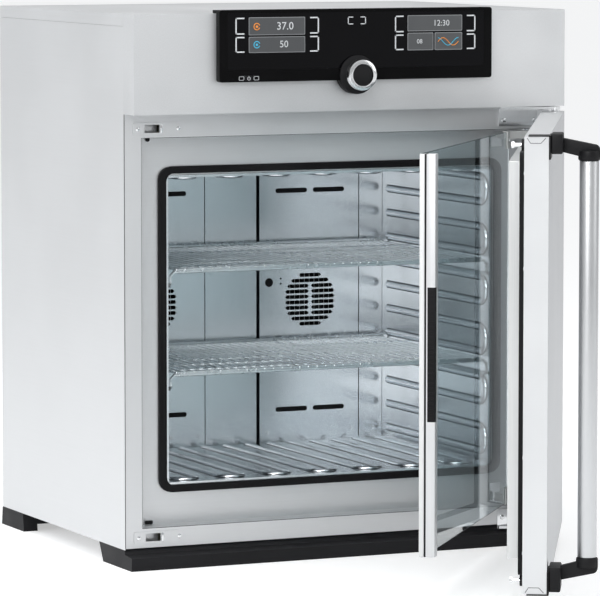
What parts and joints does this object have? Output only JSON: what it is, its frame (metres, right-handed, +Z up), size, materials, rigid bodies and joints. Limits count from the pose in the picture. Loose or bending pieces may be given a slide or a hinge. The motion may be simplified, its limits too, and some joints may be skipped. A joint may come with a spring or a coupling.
{
  "type": "refrigerated incubator",
  "caption": "Benchtop refrigerated incubator with a steel main door, an inner glass door, wire shelves and a control panel with a push knob.",
  "frame": {"origin": "on the bench, under the middle of the casing's front plane", "axes": "+X to the right of someone facing the front, +Y to the back, +Z up"},
  "size_m": [0.7523, 1.3288, 0.8695],
  "materials": {
    "brushed_casing": "brushed",
    "linen_steel": "linen texture",
    "liner_steel": "smooth",
    "galvanised": "galvanised",
    "bright_steel": "polished",
    "black_plastic": "matte",
    "pale_plastic": "satin",
    "pan_steel": "satin",
    "black_rubber": "matte",
    "display_glass": "gloss",
    "door_glass": "clear",
    "foam": "matte",
    "aluminium": "as extruded",
    "board": "satin"
  },
  "bodies": {
    "cabinet": {"side_panel_left": "brushed_casing", "side_panel_right": "brushed_casing", "top_cover": "brushed_casing", "rear_panel": "galvanised", "base_pan": "galvanised", "front_frame": "brushed_casing", "striker_plate_upper": "bright_steel", "striker_plate_lower": "bright_steel", "front_foot_left": "black_plastic", "front_foot_right": "black_plastic", "front_plinth": "black_plastic", "rear_foot_rail": "black_plastic", "liner_side_left": "liner_steel", "liner_side_right": "liner_steel", "liner_floor": "liner_steel", "liner_ceiling": "liner_steel", "liner_back": "liner_steel", "chamber_gasket": "black_rubber", "insulation": "foam", "fan_panel_left": "liner_steel", "fan_panel_right": "liner_steel", "sensor_plug": "black_plastic", "peltier_stack": "aluminium", "rear_heat_sink": "aluminium", "cooler_cover": "brushed_casing", "mains_inlet": "black_plastic", "control_fascia": "linen_steel", "control_bezel": "black_plastic", "control_glass": "display_glass", "control_board": "board", "knob_base": "black_plastic", "hinge_bracket_upper": "bright_steel", "hinge_bracket_lower": "bright_steel", "glass_hinge_upper": "bright_steel", "glass_hinge_lower": "bright_steel"},
    "main_door": {"door_outer_shell": "brushed_casing", "door_inner_pan": "pan_steel", "door_gasket": "black_rubber", "latch_block_upper": "black_plastic", "latch_block_lower": "black_plastic"},
    "door_handle": {"handle_tube": "bright_steel", "handle_arm_upper": "black_plastic", "handle_arm_lower": "black_plastic"},
    "latch_pins": {"latch_pin_upper": "bright_steel", "latch_pin_lower": "bright_steel"},
    "glass_door": {"glass_pane": "door_glass", "glass_edge_profile": "pale_plastic", "glass_grip": "black_rubber", "glass_clamp_upper": "pale_plastic", "glass_clamp_lower": "pale_plastic"},
    "shelf_top": {"shelf_upper": "bright_steel"},
    "shelf_bottom": {"shelf_lower": "bright_steel"},
    "circulation_wheel_left": {"circulation_impeller_left": "black_plastic"},
    "circulation_wheel_right": {"circulation_impeller_right": "black_plastic"},
    "cooler_wheel_left": {"cooler_impeller_left": "black_plastic"},
    "cooler_wheel_right": {"cooler_impeller_right": "black_plastic"},
    "push_shaft": {"knob_shaft": "bright_steel"},
    "control_knob": {"knob_ring": "bright_steel", "knob_cap": "black_plastic"},
    "power_switch": {"power_key": "black_plastic"}
  },
  "joints": [
    {"name": "main_door_hinge", "type": "hinge", "parent": "cabinet", "child": "main_door", "pos_m": [0.364, -0.03, 0.3678], "axis": [0, 0, 1], "range_deg": [-60.5, 69.5]},
    {"name": "glass_door_hinge", "type": "hinge", "parent": "cabinet", "child": "glass_door", "pos_m": [0.33, 0.01, 0.367], "axis": [0, 0, 1], "range_deg": [-51, 58.6]},
    {"name": "handle_pivot", "type": "hinge", "parent": "main_door", "child": "door_handle", "pos_m": [0.03524, -0.6586, 0.37575], "axis": [0, 0, 1], "range_deg": [0, 15], "stiffness_Nm_per_rad": 2},
    {"name": "latch_pin_swing", "type": "hinge", "parent": "main_door", "child": "latch_pins", "pos_m": [0.02037, -0.62721, 0.367], "axis": [0, 0, 1], "range_deg": [-9, 0]},
    {"name": "knob_push", "type": "slide", "parent": "cabinet", "child": "push_shaft", "axis": [0, 1, 0], "range_m": [0, 0.002], "stiffness_N_per_m": 400},
    {"name": "knob_turn", "type": "hinge", "parent": "push_shaft", "child": "control_knob", "pos_m": [-0.001, -0.0639, 0.7665], "axis": [0, 1, 0], "continuous": true},
    {"name": "power_key_push", "type": "slide", "parent": "cabinet", "child": "power_switch", "axis": [0, 1, 0], "range_m": [0, 0.0015], "stiffness_N_per_m": 300},
    {"name": "shelf_upper_slide", "type": "slide", "parent": "cabinet", "child": "shelf_top", "axis": [0, -1, 0], "range_m": [0, 0.05]},
    {"name": "shelf_lower_slide", "type": "slide", "parent": "cabinet", "child": "shelf_bottom", "axis": [0, -1, 0], "range_m": [0, 0.05]},
    {"name": "circulation_fan_left", "type": "hinge", "parent": "cabinet", "child": "circulation_wheel_left", "pos_m": [-0.145, 0.4467, 0.3656], "axis": [0, 1, 0], "continuous": true},
    {"name": "circulation_fan_right", "type": "hinge", "parent": "cabinet", "child": "circulation_wheel_right", "pos_m": [0.145, 0.4467, 0.3656], "axis": [0, 1, 0], "continuous": true},
    {"name": "cooler_fan_left", "type": "hinge", "parent": "cabinet", "child": "cooler_wheel_left", "pos_m": [-0.11, 0.5835, 0.365], "axis": [0, 1, 0], "continuous": true},
    {"name": "cooler_fan_right", "type": "hinge", "parent": "cabinet", "child": "cooler_wheel_right", "pos_m": [0.11, 0.5835, 0.365], "axis": [0, 1, 0], "continuous": true}
  ],
  "couplings": [
    {"joint": "glass_door_hinge", "follows": "main_door_hinge", "ratio": 0.84298},
    {"joint": "latch_pin_swing", "follows": "handle_pivot", "ratio": -0.6}
  ]
}
